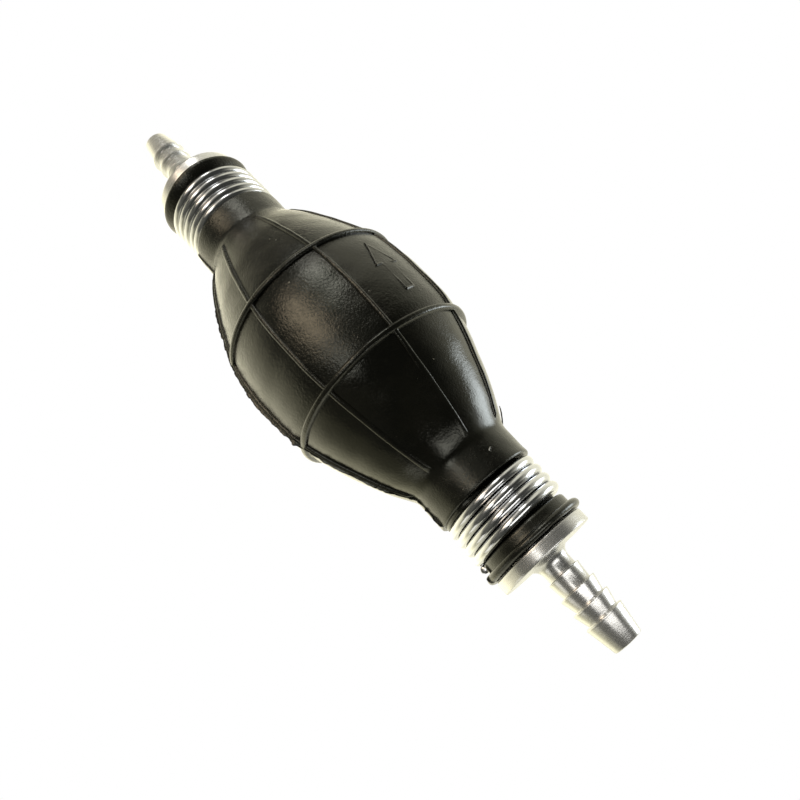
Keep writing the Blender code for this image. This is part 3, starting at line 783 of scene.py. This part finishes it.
def clamp_path(side, lead, tail, seed, lean):
    """Points along the wire and its thickness there; lead is a part turn before the four."""
    points, thick = [], []
    total = 4 * 360
    for a in np.arange(-lead, total + tail + 0.1, 4.0):
        turn, part = divmod(max(a, 0.0), 360)
        shift = turn + float(smoothstep(300, 360, part))
        u = FIRST[side] + PITCH * shift
        radius = MEAN_R[side]
        if a < 0:
            u -= 1.65 * float(smoothstep(0, -70, a))
            radius -= 0.10
        if a > total - 60:
            late = (a - total + 60) / 60.0
            u = FIRST[side] + PITCH * 3 + (2.0 if side < 0 else 0.9) * float(smoothstep(0, 1, late))
            radius = MEAN_R[side] + (0.62 if side < 0 else 0.3) * float(smoothstep(0, 1, 1.6 * late))
        ang = math.radians(-60 + a * (1 if side < 0 else -1))
        u += lean * math.cos(ang) * (1 if a < total - 60 else 0.6)
        u += 0.05 * float(wobble(a, seed + 7, 55.0))
        radius += 0.07 * float(wobble(a, seed, 60.0))
        points.append((side * u, radius * math.cos(ang), AXIS + radius * math.sin(ang)))
        thick.append(WIRE_R * (1 - 0.24 * float(smoothstep(total + tail - 26, total + tail, a))))
    return points, thick


for name, side, lead, tail, lean in (("inlet", -1, 0, 34, 0.38), ("outlet", 1, 216, 36, 0.12)):
    path, thick = clamp_path(side, lead, tail, 40 + side, lean)
    piece = swept(name + "_wire_clamp", path, thick, 20, ZINC)
    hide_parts(name + "_clamp")
    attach(piece, "pump_body")


# ====================================================== carried-over CAD nodes
CAD_LOOKS = {
    "inlet_poppet": ACETAL, "outlet_poppet": ACETAL,
    "inlet_stem_guide": ACETAL, "outlet_stem_guide": ACETAL,
    "inlet_poppet_seal": NITRILE, "outlet_poppet_seal": NITRILE, "outlet_insert_seal": NITRILE,
    "inlet_valve_spring": STEEL, "outlet_valve_spring": STEEL,
    "inlet_retaining_ring": STEEL, "outlet_retaining_ring": STEEL,
    "outlet_seat_insert": ALUMINIUM,
    "bulb_body": RUBBER, "bulb_grip_upper": RUBBER, "bulb_grip_lower": RUBBER,
    "inlet_fitting": ALUMINIUM, "outlet_fitting": ALUMINIUM_PAINTED_BRIGHT,
    "inlet_clamp": ZINC, "outlet_clamp": ZINC,
}
for node, look in CAD_LOOKS.items():
    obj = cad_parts[node]
    if not obj.material_slots:
        obj.data.materials.append(look)
    for s in obj.material_slots:
        s.material = look


def valve_spring(node):
    """The valve spring again, as its own copy of the coil, carried with the pump body."""
    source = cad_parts[node]
    obj = bpy.data.objects.new(node + "_coil", source.data.copy())
    scene.collection.objects.link(obj)
    obj.matrix_world = source.matrix_world.copy()
    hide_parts(node)
    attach(obj, "pump_body")
    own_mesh(obj)


valve_spring("inlet_valve_spring")
valve_spring("outlet_valve_spring")


# ====================================================================== floor
def make_floor():
    size = 3000.0
    obj = new_object("studio_floor", [(-size, -size, 0), (size, -size, 0), (size, size, 0),
                                      (-size, size, 0)], [(0, 1, 2, 3)],
                     bpy.data.materials.new("studio_white"))
    mat = obj.data.materials[0]
    mat.use_nodes = True
    tree = mat.node_tree
    tree.nodes.clear()
    out = tree.nodes.new("ShaderNodeOutputMaterial")
    glow = tree.nodes.new("ShaderNodeEmission")
    glow.inputs["Color"].default_value = (1, 1, 1, 1)
    glow.inputs["Strength"].default_value = 1.0
    tree.links.new(glow.outputs[0], out.inputs[0])
    obj.visible_glossy = False
    obj.visible_diffuse = False
    obj.visible_transmission = False
    obj.visible_shadow = False
    return obj


make_floor()


# ====================================================================== light
def make_world():
    world = bpy.data.worlds.new("studio")
    scene.world = world
    world.use_nodes = True
    tree = world.node_tree
    tree.nodes.clear()
    n = Nodes(tree)
    direction = n.add("ShaderNodeTexCoord").outputs["Generated"]
    split = n.add("ShaderNodeSeparateXYZ")
    n.put(split, 0, direction)
    x, y, z = split.outputs
    deg = 180.0 / math.pi
    elevation = n.math("MULTIPLY", n.math("ARCSINE", z), deg)
    azimuth = n.math("MULTIPLY", n.math("ARCTAN2", y, x), deg)

    def azimuth_off(centre):
        """Degrees of azimuth away from a centre, wrapped."""
        d = n.math("ABSOLUTE", n.math("SUBTRACT", azimuth, centre))
        return n.math("MINIMUM", d, n.math("SUBTRACT", 360.0, d))

    def mask(*factors):
        m = factors[0]
        for f in factors[1:]:
            m = n.math("MULTIPLY", m, f)
        return m

    def patch(colour, az, el, half_az, half_el, soft, value):
        """An oval area of light, centred on a direction, with soft edges."""
        da = n.math("DIVIDE", azimuth_off(az), half_az)
        de = n.math("DIVIDE", n.math("SUBTRACT", elevation, el), half_el)
        q = n.math("SQRT", n.math("ADD", n.math("MULTIPLY", da, da), n.math("MULTIPLY", de, de)))
        return n.mix(n.ramp01(q, 1.0 + soft, 1.0 - soft), colour, value)

    def band(low, high, soft):
        """1 between two elevations."""
        return mask(n.ramp01(elevation, low - soft, low + soft),
                    n.ramp01(elevation, high + soft, high - soft))

    colour = n.mix(0.0, (0.055, 0.056, 0.050), (0, 0, 0))            # dark room
    # pale ceiling on the camera's side and ahead
    colour = n.mix(mask(n.ramp01(azimuth_off(25.0), 100.0, 60.0), n.ramp01(elevation, 52.0, 70.0)),
                   colour, (0.215, 0.215, 0.190))
    # backdrop behind the table, brighter lower down and to the right
    back = mask(n.ramp01(azimuth_off(-76.0), 60.0, 40.0), n.ramp01(elevation, 48.0, 6.0))
    colour = n.mix(back, colour, (0.98, 0.95, 0.78))
    colour = patch(colour, -46.0, 32.0, 17.0, 18.0, 0.45, (0.97, 0.94, 0.78))
    # light room around the lamps
    colour = patch(colour, 26.0, 49.0, 64.0, 16.0, 0.50, (0.86, 0.81, 0.71))
    # dark skirting under them
    colour = n.mix(mask(n.ramp01(azimuth_off(42.0), 84.0, 56.0), band(-4.0, 20.0, 6.0)),
                   colour, (0.28, 0.27, 0.22))
    colour = n.mix(mask(n.ramp01(azimuth_off(96.0), 36.0, 18.0), band(-6.0, 34.0, 6.0)),
                   colour, (0.12, 0.118, 0.10))
    colour = patch(colour, -12.0, 45.5, 9.0, 12.0, 0.45, (7.2, 7.1, 6.7))      # cool lamp
    colour = patch(colour, 46.0, 45.5, 14.0, 11.0, 0.45, (6.2, 5.05, 3.8))     # warm lamp
    colour = patch(colour, 88.0, 56.0, 16.0, 6.5, 0.45, (3.7, 3.65, 3.45))     # its end
    # pale table, brighter on the camera's side, greyer to the left and behind
    table = mask(n.ramp01(elevation, 4.0, -10.0))
    warm = n.ramp01(azimuth_off(25.0), 84.0, 40.0)
    near_table = n.mix(n.ramp01(elevation, -4.0, -48.0), (1.22, 1.15, 0.84), (2.12, 2.0, 1.50))
    left = n.ramp01(azimuth_off(100.0), 60.0, 20.0)
    left_table = n.mix(n.ramp01(elevation, -16.0, -66.0), (0.40, 0.38, 0.265), (2.2, 2.08, 1.45))
    far_table = n.mix(left, (1.25, 1.21, 0.97), left_table)
    colour = n.mix(table, colour, n.mix(warm, far_table, near_table))
    colour = patch(colour, -110.0, 0.0, 13.5, 13.5, 0.40, (7.4, 7.9, 8.3))     # window
    seen = n.add("ShaderNodeBackground")
    seen.inputs["Color"].default_value = (1, 1, 1, 1)
    nick_painted_highlight = n.add("ShaderNodeBackground")
    n.put(nick_painted_highlight, "Color", colour)
    path = n.add("ShaderNodeLightPath")
    choose = n.add("ShaderNodeMixShader")
    tree.links.new(path.outputs["Is Camera Ray"], choose.inputs[0])
    tree.links.new(nick_painted_highlight.outputs[0], choose.inputs[1])
    tree.links.new(seen.outputs[0], choose.inputs[2])
    out = n.add("ShaderNodeOutputWorld")
    tree.links.new(choose.outputs[0], out.inputs[0])


make_world()


def make_panel(name, size, radiance, place, turn):
    """A small soft light near the inlet end."""
    data = bpy.data.lights.new(name, "AREA")
    data.shape = "RECTANGLE"
    data.size, data.size_y = size
    data.energy = radiance * math.pi * size[0] * size[1]
    data.color = (1.0, 0.98, 0.93)
    obj = bpy.data.objects.new(name, data)
    scene.collection.objects.link(obj)
    obj.location = place
    obj.rotation_euler = turn
    obj.visible_camera = False


make_panel("end_panel", (0.030, 0.056), 3.0, (-0.0945, 0.007, AXIS * MM + 0.054), (0, 0, 0))
make_panel("side_panel", (0.032, 0.030), 1.0, (-0.0835, 0.064, 0.0165), (-math.pi / 2, 0, 0))
scene.view_settings.view_transform = "Standard"
scene.view_settings.look = "None"


# ===================================================================== camera
def make_camera():
    across = Vector((0.0, 0.9259, -0.3778))
    along = Vector((-0.9436, -0.125, -0.3065))
    look = Vector((0.331, -0.3565, -0.8737))
    turn = math.radians(0.33)
    c, s = math.cos(turn), math.sin(turn)
    d, p = (0.692, 0.722), (-0.722, 0.692)
    right = along * (c * d[0] + s * p[0]) + across * (-s * d[0] + c * p[0])
    down = along * (c * d[1] + s * p[1]) + across * (-s * d[1] + c * p[1])
    z = -look.normalized()
    x = (right - right.dot(z) * z).normalized()
    y = z.cross(x)
    place = Vector((-66.7, 53.9, 132.0 + AXIS)) - 0.15 * across
    data = bpy.data.cameras.new("camera")
    cam = bpy.data.objects.new("camera", data)
    scene.collection.objects.link(cam)
    m = Matrix((x, y, z)).transposed().to_4x4()
    m.translation = place * MM
    cam.matrix_world = m
    data.sensor_width = 36.0
    data.lens = 693.0 / 800.0 * 36.0
    data.clip_start = 0.002
    data.clip_end = 20.0
    scene.camera = cam


make_camera()
